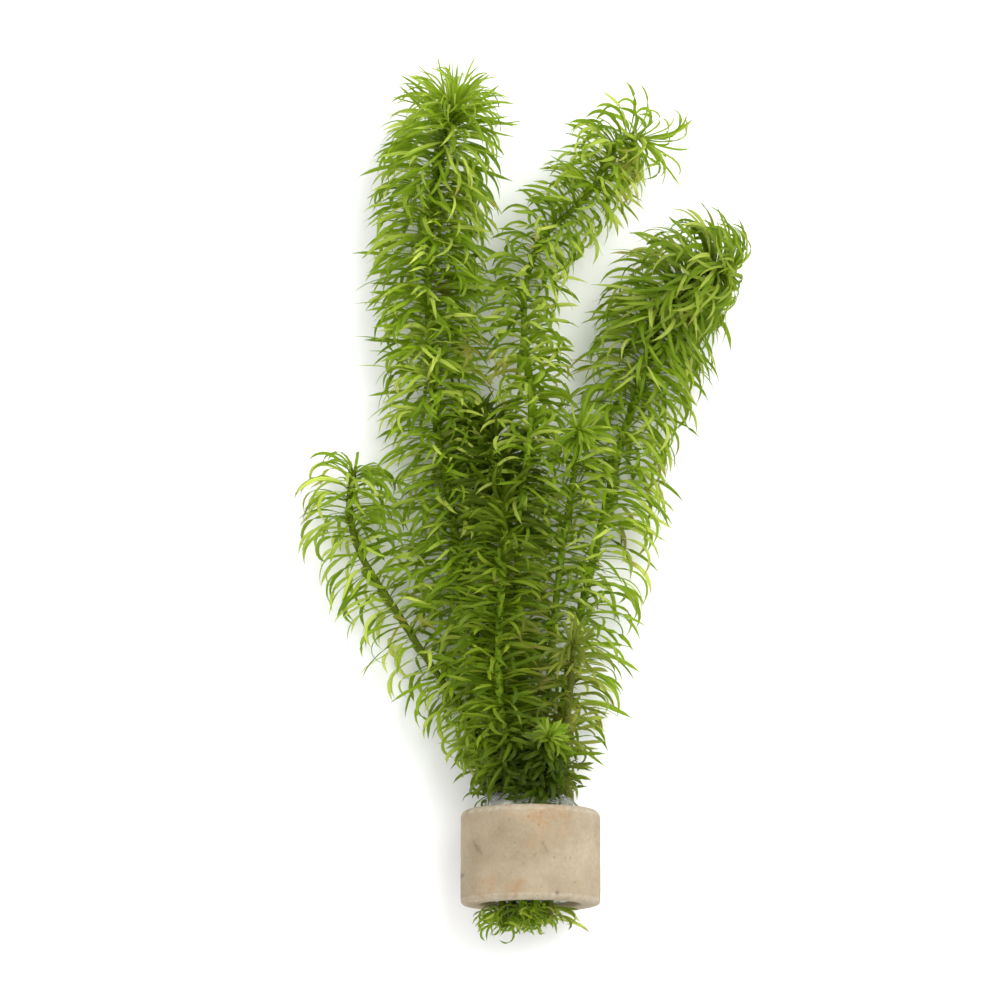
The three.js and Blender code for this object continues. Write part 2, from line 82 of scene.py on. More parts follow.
# Marks on the ring's upper side: share, across, along and radius; scratches join two places
CLAY_STAINS = [(0.75, 3, 21.5, 5), (0.8, 8.6, 23, 2), (0.95, -11.5, 3.6, 2.8), (0.8, -4.5, 3.5, 2.4),
               (0.4, -3, 23, 2.5), (0.35, 2, 14, 3)]
CLAY_NICKS = [(0.9, 7, 1.5, 0.55), (0.8, -18.3, 7.5, 0.5), (0.35, 1, 11.5, 0.4), (0.4, -9, 17, 0.35)]
CLAY_SCRATCHES = [((-15.3, 16), (-14.2, 13.2)), ((-14.4, 14.8), (-13.1, 12.2)), ((3, 15), (4.4, 12.5))]
RING_SIDES = 360
WOOL = {"radius": 12.4, "low": 1.9, "high": 27.6, "rings": 16, "sides": 96, "fibres": 1300,
        "loose": 600, "loose_from": 24.8, "loose_to": 27.8, "joints": 12, "fibre_radius": 0.045,
        "tilt": 0.16, "seed": 5}
STEM = {"step": 0.55, "sides": 14, "share": 0.92, "node_swell": 0.16, "node_length": 0.7}

# The darkest, middle and lightest leaf, and wilted spots; the stem and its nodes
LEAF_COLOURS = {
    "leaf": ((0.15, 0.255, 0.007), (0.32, 0.47, 0.016), (0.84, 0.9, 0.21), (0.36, 0.28, 0.06)),
    "leaf_dark": ((0.105, 0.18, 0.006), (0.23, 0.35, 0.013), (0.47, 0.57, 0.045), (0.22, 0.2, 0.04)),
    "leaf_brown": ((0.13, 0.165, 0.02), (0.24, 0.3, 0.03), (0.46, 0.5, 0.08), (0.3, 0.2, 0.07)),
}
STEM_COLOURS = {
    "leaf": ((0.08, 0.14, 0.004), (0.19, 0.27, 0.012)),
    "leaf_dark": ((0.055, 0.08, 0.003), (0.1, 0.13, 0.008)),
    "leaf_brown": ((0.07, 0.085, 0.01), (0.13, 0.14, 0.02)),
}

# Angles are in degrees from the stem's direction; pairs run from the holder to the tip.
# Extra, cover, mat, over_wool and open_head are about the leaves between the whorls; curl is how
# far tips roll up; shade and dark_top set how much painted shade a shoot gets inside the bunch and at its
# head.
SHOOTS = {
    "shoot_tall_left": {
        "slot": "leaf", "extra": (12, 18), "curl": 95, "shade": 1, "orange": 1, "open_head": 80,
        "route": [
            (-4, -5, 14), (-5.5, 6, 14), (-6, 20, 14), (-6.3, 29, 14), (-9.6, 42.7, 13),
            (-12.5, 59.3, 12), (-15.8, 78.6, 12), (-19.1, 95.1, 12), (-22.4, 114.5, 12),
            (-25.5, 131.3, 12), (-27.1, 150.6, 13), (-28, 167.2, 14), (-27.7, 183.7, 15.5),
            (-26.1, 198.6, 17.3), (-24.2, 207, 20), (-22.5, 213.4, 23.4), (-20.8, 219.8, 27),
        ],
        "radius": (1.2, 1), "whorls": (2.7, 1.9), "leaf": (14, 20), "foot": (85, 78),
        "tip": (115, 125), "bud": (10, 35), "youngest": 0.7, "head": 16, "seed": 11,
    },
    "shoot_middle": {
        "slot": "leaf", "extra": (6, 17), "curl": 140, "shade": 1,
        "route": [
            (-1, -3, 12), (-0.3, 6, 11.5), (-0.2, 20, 11), (-0.6, 29.3, 11), (-2.2, 45.7, 11),
            (-3.3, 62.2, 11), (-3.6, 81.5, 11), (-3.3, 97.2, 16), (-2.8, 108.4, 23),
            (-1.1, 119.8, 26), (0.2, 131.7, 24), (0, 143.6, 20), (-1.3, 155.6, 16),
            (-1.6, 167.2, 14), (0.3, 177.1, 14), (4.2, 185.3, 15), (11.1, 191.4, 17),
            (17.2, 197.6, 18), (20.2, 204.2, 18), (22.2, 208.6, 18), (24.9, 211.4, 18),
            (28.3, 212.4, 18), (31.6, 211.2, 18),
        ],
        "radius": (1, 0.8), "whorls": (3.9, 2.6), "leaf": (12, 15.5), "foot": (85, 75),
        "tip": (130, 130), "bud": (12, 22), "youngest": 1.1, "head": 5, "seed": 23,
    },
    "shoot_tall_right": {
        "slot": "leaf", "extra": (3, 38), "curl": 80, "shade": 1, "dark_top": 0.6, "mat": 0.9,
        "route": [
            (4, -4, 14), (4.4, 6, 13.5), (4.6, 20, 13), (4.8, 29.1, 13), (7, 41.5, 12),
            (9.2, 56.6, 11.5), (12, 73.1, 11.5), (15.3, 86.8, 12), (18.6, 100.7, 12),
            (21.9, 114.5, 12), (25.2, 128.4, 12.5), (29.4, 140.8, 13), (32.7, 153.8, 14),
            (35.6, 162, 16), (39.4, 168.2, 19), (44.2, 172.2, 21.5), (49.4, 173.6, 23),
            (54.2, 172.6, 23.5),
        ],
        "radius": (1.35, 1.05), "whorls": (4.3, 1.7), "leaf": (17, 22), "foot": (80, 72),
        "tip": (110, 165), "bud": (40, 160), "youngest": 0.6, "head": 6, "seed": 37,
    },
    "shoot_low_left": {
        "slot": "leaf", "extra": (8, 8), "curl": 80, "shade": 1, "stem": "leaf_dark",
        "route": [
            (-7, -6, 18), (-8, 6, 19), (-8.6, 20, 19), (-9, 28.4, 19), (-12.5, 39.5, 17),
            (-16.9, 50.2, 14.5), (-21.8, 58.6, 13), (-27, 66.1, 12.5), (-32.4, 74.4, 12.5),
            (-37.9, 83.2, 12.5), (-42.8, 90.3, 13), (-46.9, 98.2, 13.5), (-49.2, 107.3, 14),
            (-48.9, 114.8, 15), (-47.5, 120.3, 17),
        ],
        "radius": (1.05, 0.95), "whorls": (7.6, 2.3), "leaf": (15, 17), "foot": (80, 70),
        "tip": (130, 140), "bud": (50, 135), "youngest": 0.4, "head": 6, "seed": 41,
    },
    "shoot_front": {
        "slot": "leaf_dark", "extra": (15, 20), "curl": 60, "shade": 0.6, "cover": 2, "over_wool": 1.5,
        "dark_top": 2, "stem": "leaf",
        "route": [
            (-2, -3, 24), (-2.4, 6, 25.5), (-2.6, 20, 26), (-2.8, 27.5, 26), (-6, 40.9, 27.5),
            (-8.2, 54.3, 28), (-8.5, 70.6, 28), (-7.7, 87, 28), (-7.1, 103.8, 26),
            (-8.2, 118.8, 19), (-11.8, 127.9, 15), (-15.3, 133.4, 14),
        ],
        "radius": (1.2, 1), "whorls": (3.6, 2.6), "leaf": (13, 13), "foot": (85, 80),
        "tip": (100, 90), "bud": (25, 50), "youngest": 0.4, "head": 8, "seed": 53,
    },
    "shoot_short_right": {
        "slot": "leaf_brown", "extra": (0, 6), "curl": 60, "shade": 0.5, "cover": 0.8,
        "route": [
            (5, -4, 23), (5.4, 6, 24), (5.6, 20, 24), (5.8, 27.8, 24), (7.9, 38.5, 25),
            (9.8, 49.2, 26), (10.9, 59.8, 28), (11.1, 66.6, 33), (11.1, 69.3, 37),
        ],
        "radius": (1.1, 0.9), "whorls": (3.8, 2.4), "leaf": (12, 12), "foot": (80, 75),
        "tip": (100, 90), "bud": (40, 85), "youngest": 0.4, "head": 8, "seed": 67,
    },
    "shoot_short_front": {
        "slot": "leaf", "extra": (7, 9), "curl": 60, "shade": 1.2, "cover": 2.5, "over_wool": 1.7,
        "dark_top": -1.6,
        "route": [
            (1.5, -2.6, 27), (1.8, 6, 27.8), (1.9, 20, 28), (2, 27.3, 28), (3.1, 34.6, 30),
            (4.1, 40, 34), (5.1, 43.8, 40),
        ],
        "radius": (1, 0.85), "whorls": (2.6, 1.8), "leaf": (9, 9), "foot": (80, 75),
        "tip": (105, 95), "bud": (35, 80), "youngest": 0.4, "head": 7, "seed": 71,
    },
    "shoot_back": {
        "slot": "leaf", "extra": (3, 5), "curl": 70, "shade": 1,
        "route": [
            (1, -5, 17), (1.6, 6, 17), (1.9, 20, 17), (2.1, 28.6, 17), (3.4, 44.9, 17),
            (5.1, 61.3, 17), (6.5, 77.8, 17), (8.4, 94.3, 17), (10.9, 110.9, 17), (12.8, 123, 19),
            (13, 127.5, 23), (13.2, 128.6, 29),
        ],
        "radius": (1.1, 0.9), "whorls": (3.6, 2.8), "leaf": (12, 13), "foot": (80, 75),
        "tip": (105, 95), "bud": (35, 80), "youngest": 0.4, "head": 8, "seed": 83,
    },
}


# Repeatable numbers: from 0 to 1, and from -amount to amount

def chance(*keys):
    state = 2166136261
    for key in keys:
        state = ((state ^ key) * 16777619) & 0xFFFFFFFF
        state ^= state >> 13
        state = (state * 1540483477) & 0xFFFFFFFF
        state ^= state >> 15
    return state / 4294967296


def sway(amount, *keys):
    return amount * (2 * chance(*keys) - 1)


def lerp(low, high, share):
    return low + (high - low) * share


def smooth(value, low, high):
    share = min(1, max(0, (value - low) / (high - low)))
    return share * share * (3 - 2 * share)


def crosswise(vector, along):
    return (vector - along * vector.dot(along)).normalized()


# A stem's route as closely spaced places: point, direction of growth, a direction across it, length

def curve_points(corners, steps):
    corners = np.array(corners, float)
    padded = np.vstack([2 * corners[0] - corners[1], corners, 2 * corners[-1] - corners[-2]])
    points = []
    for index in range(len(corners) - 1):
        before, low, high, after = padded[index:index + 4]
        leave, arrive = (high - before) / 2, (after - low) / 2
        for step in range(steps):
            t = step / steps
            points.append(low + leave * t + (3 * (high - low) - 2 * leave - arrive) * t ** 2
                          + (2 * (low - high) + leave + arrive) * t ** 3)
    points.append(corners[-1])
    return [Vector(point) for point in points]


def trace_path(route):
    points = curve_points(route, 10)
    places = []
    across = Vector((1, 0, 0))
    length = 0
    for index, point in enumerate(points):
        before = points[max(index - 1, 0)]
        after = points[min(index + 1, len(points) - 1)]
        along = (after - before).normalized()
        across = crosswise(across, along)
        length += (point - before).length
        places.append((point, along, across, length))
    return places


def place_at(path, length):
    index = next((i for i, place in enumerate(path) if place[3] > length), len(path) - 1)
    low, high = path[max(index, 1) - 1], path[max(index, 1)]
    share = (length - low[3]) / (high[3] - low[3])
    along = low[1].lerp(high[1], share).normalized()
    across = crosswise(low[2].lerp(high[2], share), along)
    return {"point": low[0].lerp(high[0], share), "along": along, "across": across,
            "side": along.cross(across), "length": length}


def whorl_places(shoot, path):
    total = path[-1][3]
    out = next(place[3] for place in path if place[0].y > PACKING["high"] + WHORL["holder_room"])
    places = []
    index = 0
    length = WHORL["first"]
    while length < total - WHORL["tip_room"]:
        place = place_at(path, length)
        share = max(0, (length - out) / (total - out))
        in_tail = length < out
        ripe = smooth(total - length, 0, shoot["head"])
        apart = TAIL["apart"] if in_tail else lerp(WHORL["at_tip"], lerp(*shoot["whorls"], share), ripe)
        in_holder = in_tail and place["point"].y > TAIL["below"]
        if not in_holder:
            free = smooth(length - out, 0, GATHER["over"])
            places.append({**place, "index": index, "share": share, "ripe": ripe, "apart": apart,
                           "in_tail": in_tail, "free": free})
        length += apart
        if in_holder:
            length = max(length, out)
        index += 1
    return places


# A leaf's midrib from the stem outwards, and the direction across the blade at each of its points

def grow_leaf(shoot, place, number, key):
    share, ripe, along, loose = place["share"], place["ripe"], place["along"], place.get("loose", 1)
    stagger = WHORL["stagger"] if place["index"] % 2 else -WHORL["stagger"]
    azimuth = ((number + stagger) * 2 * math.pi / WHORL["leaves"]
               + math.radians(sway(VARIETY["azimuth"], *key, 1)))
    out = place["across"] * math.cos(azimuth) + place["side"] * math.sin(azimuth)
    opened = 1 if place["in_tail"] else lerp(GATHER["angle"], 1, place["free"])
    size = TAIL["leaf"] if place["in_tail"] else lerp(GATHER["leaf"], 1, place["free"])
    foot = (lerp(shoot["bud"][0], lerp(*shoot["foot"], share) * opened, ripe)
            + sway(VARIETY["foot"] * loose, *key, 2) + place.get("open", 0))
    open_tip = TAIL["tip"] if place["in_tail"] else lerp(*shoot["tip"], share) * opened
    tip = lerp(shoot["bud"][1], open_tip, ripe) + sway(VARIETY["tip"] * loose, *key, 3)
    tip += place.get("open", 0) + place.get("droop", 0)
    over = place.get("over", 0)
    lean = UPPER_SIDE["lean"] if chance(*key, 14) < UPPER_SIDE["left"] else -UPPER_SIDE["lean"]
    bend = (sway(VARIETY["bend"] * loose, *key, 4)
            + lean * max(0, out.z) * (1 - over) * place.get("lean", 1))
    grown = lerp(shoot["youngest"], 1, math.sqrt(ripe))
    length = lerp(*shoot["leaf"], share) * size * grown * (1 + sway(VARIETY["length"], *key, 5))
    length *= place.get("size", 1)
    twist = math.radians(sway(VARIETY["twist"], *key, 6))
    lie = lerp(place.get("least_flat", VARIETY["least_flat"]), 1, chance(*key, 7))
    curl = shoot["curl"] * place.get("curl", 0) + EXTRA["fold"] * over * max(0, out.z)
    across = along.cross(out)
    point = place["point"] + out * lerp(*shoot["radius"], share) * BLADE["sunk_foot"]
    points, sides = [point.copy()], [across.copy()]
    for index in range(1, BLADE["steps"] + 1):
        reach = index / BLADE["steps"]
        angle = math.radians(lerp(foot, tip, reach * math.sqrt(reach))
                             + curl * smooth(reach, CURL["from"], 1))
        direction = (along * math.cos(angle) + out * math.sin(angle) + across * bend * reach).normalized()
        if direction.z < 0:
            direction.z *= min(1, max(0, point.z - LANDING["gap"]) / LANDING["height"])
            direction = (direction + along * LANDING["creep"]).normalized()
        point = point + direction * length / BLADE["steps"]
        point.z = max(point.z, LANDING["gap"])
        flat = Vector((-direction.y, direction.x, 0))
        if flat.dot(across) < 0:
            flat.negate()
        side = crosswise(across.lerp(flat, lie * min(1, 2 * reach)), direction)
        side.rotate(Quaternion(direction, twist * reach))
        points.append(point.copy())
        sides.append(side)
    return points, sides


def resample(values, count):
    """Rows of points (leaf, step, 3) on a smooth curve through them, at count even places."""
    steps = values.shape[1] - 1
    padded = np.concatenate(
        [2 * values[:, :1] - values[:, 1:2], values, 2 * values[:, -1:] - values[:, -2:-1]], axis=1)
    places = np.linspace(0, steps, count)
    spans = np.minimum(places.astype(int), steps - 1)
    t = (places - spans)[None, :, None]
    before, low, high, after = (padded[:, spans + offset] for offset in range(4))
    leave, arrive = (high - before) / 2, (after - low) / 2
    return (low + leave * t + (3 * (high - low) - 2 * leave - arrive) * t ** 2
            + (2 * (low - high) + leave + arrive) * t ** 3)


def unit(vectors):
    return vectors / np.linalg.norm(vectors, axis=-1, keepdims=True)


def to_metres(points):
    return np.asarray(points, float) * MM + np.array(ORIGIN)


# Blades: a thin lens in section, a little channelled, with small teeth along both edges

def leaf_sections(points, sides, traits):
    count = LEAF["sections"]
    middle = resample(points, count)
    along = unit(np.gradient(middle, axis=1))
    side = resample(sides, count)
    side = unit(side - along * np.sum(side * along, axis=2, keepdims=True))
    normal = np.cross(along, side)
    reach = np.linspace(0, 1, count)
    foot = lerp(LEAF["foot_share"], 1, np.clip(reach / 0.12, 0, 1))
    taper = np.clip((1 - reach) / (1 - LEAF["taper_from"]), 0, 1)
    outline = foot * (1 - (1 - taper) ** 1.7)
    tooth = LEAF["tooth"] * np.where(np.arange(count) % 2, 1, -1) * (reach > 0.1) * (reach < 0.97)
    half = LEAF["width"] / 2 * traits["width"][:, None] * (outline + tooth * outline ** 0.5)[None]
    half = np.maximum(half, 0.03)[:, :, None]
    thick = (LEAF["thickness"] / 2 * lerp(0.35, 1, outline))[None, :, None]
    phase = traits["phase"][:, None, None] * 2 * math.pi
    turns = traits["turns"][:, None, None] * reach[None, :, None] * 2 * math.pi
    wave = LEAF["wave"] * half
    left = middle - side * half + normal * (LEAF["channel"] * half + wave * np.sin(turns + phase))
    right = middle + side * half + normal * (LEAF["channel"] * half + wave * np.sin(turns * 0.8 - phase))
    rows = np.stack([left, middle + normal * thick, right, middle - normal * thick], axis=2)
    rows[..., 2] = np.maximum(rows[..., 2], LEAF["thin_edge"])
    return rows


def loft_faces(count, rows, corners):
    """Quads of count closed tubes of the given rows of corners, with a flat face at both ends."""
    base = np.arange(count)[:, None, None] * rows * corners
    row = np.arange(rows - 1)[None, :, None] * corners
    corner = np.arange(corners)[None, None, :]
    after = (corner + 1) % corners
    start = base + row
    walls = np.stack([start + corner, start + after, start + corners + after,
                      start + corners + corner], axis=-1)
    low_end = base[:, 0, 0][:, None] + np.arange(corners)[::-1]
    high_end = base[:, 0, 0][:, None] + (rows - 1) * corners + np.arange(corners)
    return walls.reshape(-1, 4).tolist() + low_end.tolist() + high_end.tolist()


def make_piece(name, points, faces, material, node, slot, tones=None, smooth_faces=True):
    mesh = bpy.data.meshes.new(name)
    mesh.from_pydata(to_metres(points).tolist(), [], faces)
    mesh.polygons.foreach_set("use_smooth", [smooth_faces] * len(mesh.polygons))
    for label, values in (tones or {}).items():
        layer = mesh.attributes.new(label, "FLOAT_COLOR", "POINT")
        colours = np.ones((len(values), 4))
        colours[:, :3] = values
        layer.data.foreach_set("color", colours.ravel())
    mesh.materials.append(material)
    piece = bpy.data.objects.new(name, mesh)
    bpy.context.scene.collection.objects.link(piece)
    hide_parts(node)
    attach(piece, "root")
    return piece


def sharpen_edges(mesh, corner_of_vertex, corners):
    """Marks the lines between neighbouring vertices of the given corners as sharp."""
    ends = np.empty(len(mesh.edges) * 2, int)
    mesh.edges.foreach_get("vertices", ends)
    kinds = corner_of_vertex[ends.reshape(-1, 2)]
    sharp = (kinds[:, 0] == kinds[:, 1]) & np.isin(kinds[:, 0], corners)
    mesh.attributes.new("sharp_edge", "BOOLEAN", "EDGE").data.foreach_set("value", sharp)


def painted_shade_share(point):
    """Painted shade by how deep in the bunch a leaf is: 0 outside, 1 inside its lower half, more near the
    ring.
    """
    across = math.exp(-((point.x - PAINTED_SHADE["middle"]) / PAINTED_SHADE["width"]) ** 2)
    along = (smooth(point.y, PAINTED_SHADE["dark_from"], RING["length"])
             * (1 - smooth(point.y, PAINTED_SHADE["dark_to"], PAINTED_SHADE["ends_at"])))
    return across * along * lerp(1 + PAINTED_SHADE["lowest"], 1, smooth(point.y, *PAINTED_SHADE["low"]))


def settle(point):
    """The point, moved to just outside the nearer end of the ring if it is in the clay or the wool."""
    room = LEAF["width"] / 3
    from_axis = math.hypot(point.x, point.z - AXIS_HEIGHT)
    if from_axis > AXIS_HEIGHT + room:
        return point
    if point.y < RING["length"] / 2:
        return Vector((point.x, min(point.y, -room), point.z))
    top = RING["length"]
    if from_axis < RING["bore"] - room:
        top = max(top, wool_top(point.x, point.z - AXIS_HEIGHT))
    return Vector((point.x, max(point.y, top + room), point.z))


def too_far(point):
    return point.z > HIGHEST or point.x > FARTHEST_RIGHT


def extra_size(shoot, share, held):
    """Extra leaves are shorter in a head that is a mat, and longer where they hide the wool."""
    in_mat = lerp(1, shoot.get("mat", 1), smooth(share, *EXTRA["mat"]))
    return in_mat * lerp(1, shoot.get("over_wool", 1), held * (1 - share))


def dress_shoot(name, shoot, leaf_look, stem_look):
    path = trace_path(shoot["route"])
    places = whorl_places(shoot, path)
    midribs, sides = [], []
    traits = {label: [] for label in ("width", "phase", "turns", "tone", "ripe", "inner")}
    for place in places:
        extra = lerp(*shoot["extra"], place["share"] ** EXTRA["late"])
        held = 0 if place["in_tail"] else 1 - place["free"]
        extra += EXTRA["at_holder"] * shoot.get("cover", 1) * held
        for count in range(WHORL["leaves"] + round(extra)):
            key = (shoot["seed"], place["index"], count)
            number = count
            foothold = {**place}
            if count >= WHORL["leaves"]:
                number = count * EXTRA["turn"] + chance(*key, 20)
                lift = place["apart"] * lerp(*EXTRA["lift"], chance(*key, 21))
                foothold = {**place,
                            **place_at(path, min(place["length"] + lift, path[-1][3] - 0.1)),
                            "loose": lerp(EXTRA["tangled"], EXTRA["loose"], place["free"]),
                            "least_flat": 0,
                            "over": chance(*key, 22) ** 4,
                            "lean": EXTRA["lean"],
                            "droop": EXTRA["droop"] * held * chance(*key, 23),
                            "size": extra_size(shoot, place["share"], held),
                            "open": EXTRA["open"] * held * chance(*key, 24)
                            + shoot.get("open_head", 0) * (1 - place["ripe"]) * chance(*key, 25)}
            if chance(*key, 12) < CURL["share"]:
                foothold["curl"] = chance(*key, 13) * lerp(CURL["low"], 1, place["free"])
            points, across = grow_leaf(shoot, foothold, number, key)
            points[2:] = [settle(point) for point in points[2:]]
            if any(too_far(point) for point in points):
                continue
            midribs.append(points)
            sides.append(across)
            grown = lerp(LEAF["youngest_width"], 1, math.sqrt(place["ripe"]))
            grown *= LEAF["in_tail"] if place["in_tail"] else 1
            traits["width"].append(grown * (1 + sway(LEAF["width_varies"], *key, 8)))
            traits["phase"].append(chance(*key, 9))
            traits["turns"].append(lerp(1, 2.5, chance(*key, 10)))
            traits["tone"].append(chance(*key, 11))
            traits["ripe"].append(place["ripe"])
            # Painted shade for this leaf, deep in the bunch and at the shoot's head, goes to the shader
            # as its third tone value
            dark_top = shoot.get("dark_top", 0) * smooth(place["share"], *PAINTED_SHADE["top"])
            traits["inner"].append(shoot["shade"] * painted_shade_share(points[len(points) // 2]) + dark_top)
    traits = {label: np.array(values) for label, values in traits.items()}
    rows = leaf_sections(np.array(midribs), np.array(sides), traits)
    count, sections, corners = rows.shape[:3]
    reach = np.broadcast_to(np.linspace(0, 1, sections)[None, :, None], rows.shape[:3])
    across = np.broadcast_to(np.array([0, 0.5, 1, 0.5])[None, None, :], rows.shape[:3])
    under = np.broadcast_to(np.array([0.5, 0, 0.5, 1])[None, None, :], rows.shape[:3])
    tone, ripe, inner = (np.broadcast_to(traits[label][:, None, None], rows.shape[:3])
                         for label in ("tone", "ripe", "inner"))
    place_tones = np.stack([across, reach, under], axis=-1).reshape(-1, 3)
    # Each leaf's random tone, its ripeness and its painted shade
    leaf_tones = np.stack([tone, ripe, inner], axis=-1).reshape(-1, 3)
    leaves = make_piece(name + "_leaves", rows.reshape(-1, 3), loft_faces(count, sections, corners),
                        leaf_look, name, shoot["slot"],
                        {"leaf_place": place_tones, "leaf_tone_and_shade": leaf_tones})
    sharpen_edges(leaves.data, np.tile(np.arange(corners), count * sections), (0, 2))
    dress_stem(name, shoot, path, [place["length"] for place in places], stem_look)


def dress_stem(name, shoot, path, node_lengths, material):
    total = path[-1][3]
    lengths = np.linspace(0, total, max(2, round(total / STEM["step"])))
    nodes = np.array(node_lengths)
    rows, tones = [], []
    for length in lengths:
        place = place_at(path, length)
        near = math.exp(-(np.min(np.abs(nodes - length)) / STEM["node_length"]) ** 2)
        radius = lerp(*shoot["radius"], length / total) * STEM["share"] * (1 + STEM["node_swell"] * near)
        radius *= lerp(0.3, 1, smooth(total - length, 0, 4))
        for side in range(STEM["sides"]):
            angle = side * 2 * math.pi / STEM["sides"]
            rows.append(place["point"] + place["across"] * radius * math.cos(angle)
                        + place["side"] * radius * math.sin(angle))
            tones.append((near, length / total, shoot.get("orange", 0)))
    faces = loft_faces(1, len(lengths), STEM["sides"])
    make_piece(name + "_stem", rows, faces, material, name, shoot["slot"], {"stem_tone_and_shade": tones})


# Materials

def new_material(name):
    material = bpy.data.materials.new(name)
    material.use_nodes = True
    tree = material.node_tree
    tree.nodes.clear()
    output = tree.nodes.new("ShaderNodeOutputMaterial")
    return material, tree, output


def add_node(tree, kind, inputs=None, **settings):
    node = tree.nodes.new("ShaderNode" + kind)
    for label, value in settings.items():
        setattr(node, label, value)
    for label, value in (inputs or {}).items():
        if isinstance(value, bpy.types.NodeSocket):
            tree.links.new(value, node.inputs[label])
        else:
            node.inputs[label].default_value = value
    return node


def math_node(tree, operation, *values):
    node = tree.nodes.new("ShaderNodeMath")
    node.operation = operation
    for socket, value in zip(node.inputs, values):
        if isinstance(value, bpy.types.NodeSocket):
            tree.links.new(value, socket)
        else:
            socket.default_value = value
    return node.outputs[0]


def blend_colours(tree, share, low, high, mode="MIX"):
    node = tree.nodes.new("ShaderNodeMix")
    node.data_type = "RGBA"
    node.blend_type = mode
    for socket, value in ((node.inputs[0], share), (node.inputs[6], low), (node.inputs[7], high)):
        if isinstance(value, bpy.types.NodeSocket):
            tree.links.new(value, socket)
        else:
            socket.default_value = value
    return node.outputs[2]


def ramp(tree, share, stops):
    node = tree.nodes.new("ShaderNodeValToRGB")
    tree.links.new(share, node.inputs[0])
    while len(node.color_ramp.elements) < len(stops):
        node.color_ramp.elements.new(0.5)
    for element, (position, colour) in zip(node.color_ramp.elements, stops):
        element.position = position
        element.color = (*colour, 1)
    return node.outputs[0]


def leaf_material(name, dark, middle, bright, wilted):
    # The colour of painted shade: half the darkest leaf colour
    deep = [channel * 0.5 for channel in dark]
    material, tree, output = new_material(name)
    place = add_node(tree, "SeparateColor", {"Color": add_node(
        tree, "Attribute", attribute_name="leaf_place").outputs["Color"]})
    tone = add_node(tree, "SeparateColor", {"Color": add_node(
        tree, "Attribute", attribute_name="leaf_tone_and_shade").outputs["Color"]})
    across, reach = place.outputs[0], place.outputs[1]
    chance_of_leaf, ripe = tone.outputs[0], tone.outputs[1]
    where = add_node(tree, "TexCoord").outputs["Object"]
    cloud = add_node(tree, "TexNoise", {"Vector": where, "Scale": 70.0, "Detail": 3.0})
    share = math_node(tree, "ADD", math_node(tree, "MULTIPLY", chance_of_leaf, 0.7),
                      math_node(tree, "MULTIPLY", cloud.outputs["Fac"], 0.3))
    colour = ramp(tree, share, [(0.05, dark), (0.5, middle), (0.95, bright)])
    young = math_node(tree, "SUBTRACT", 1.0, ripe)
    colour = blend_colours(tree, math_node(tree, "MULTIPLY", young, 0.6), colour, (*middle, 1))
    # Painted shade: darker towards that colour by the leaf's third tone value
    colour = blend_colours(tree, math_node(tree, "MULTIPLY", tone.outputs[2], 0.35), colour, (*deep, 1))
    # A darker midrib, and painted shade along both margins where the blade is seen edge-on
    from_middle = math_node(tree, "ABSOLUTE", math_node(tree, "SUBTRACT", across, 0.5))
    midrib = math_node(tree, "LESS_THAN", from_middle, 0.06)
    painted_edge_shade = math_node(tree, "GREATER_THAN", from_middle, 0.4)
    midrib_and_edge_shade = math_node(tree, "MAXIMUM", math_node(tree, "MULTIPLY", midrib, 0.4),
                     math_node(tree, "MULTIPLY", painted_edge_shade, 0.55))
    colour = blend_colours(tree, midrib_and_edge_shade, colour, (*dark, 1))
    blotch = add_node(tree, "TexNoise", {"Vector": where, "Scale": 45.0, "Detail": 4.0})
    tip_share = math_node(tree, "POWER", reach, 3.0)
    wilt = math_node(tree, "MULTIPLY_ADD", tip_share, 0.14, blotch.outputs["Fac"])
    wilt = math_node(tree, "MULTIPLY", math_node(tree, "SUBTRACT", wilt, 0.68), 9.0)
    wilt = math_node(tree, "MINIMUM", math_node(tree, "MAXIMUM", wilt, 0.0), 0.7)
    colour = blend_colours(tree, wilt, colour, (*wilted, 1))
    through = add_node(tree, "Gamma", {"Color": colour, "Gamma": 0.5}).outputs[0]
    face = add_node(tree, "BsdfPrincipled", {
        "Base Color": colour, "Roughness": 0.45, "Specular IOR Level": 0.3})
    behind = add_node(tree, "BsdfTranslucent", {"Color": through})
    mix = add_node(tree, "MixShader", {0: 0.68, 1: face.outputs[0], 2: behind.outputs[0]})
    tree.links.new(mix.outputs[0], output.inputs["Surface"])
    return material


def stem_material(name, colour, node_colour):
    material, tree, output = new_material(name)
    tone = add_node(tree, "SeparateColor", {"Color": add_node(
        tree, "Attribute", attribute_name="stem_tone_and_shade").outputs["Color"]})
    where = add_node(tree, "TexCoord").outputs["Object"]
    cloud = add_node(tree, "TexNoise", {"Vector": where, "Scale": 160.0, "Detail": 3.0})
    light = [channel * 1.6 for channel in colour]
    base = blend_colours(tree, cloud.outputs["Fac"], (*colour, 1), (*light, 1))
    base = blend_colours(tree, math_node(tree, "MULTIPLY", tone.outputs[0], 0.8), base, (*node_colour, 1))
    tip = ramp(tree, tone.outputs[1], [(0.985, (0, 0, 0)), (0.995, (1, 1, 1))])
    orange = math_node(tree, "MULTIPLY", tip, tone.outputs[2])
    base = blend_colours(tree, orange, base, (0.4, 0.22, 0.02, 1))
    face = add_node(tree, "BsdfPrincipled", {"Base Color": base, "Roughness": 0.6,
                                             "Specular IOR Level": 0.1})
    tree.links.new(face.outputs[0], output.inputs["Surface"])
    return material


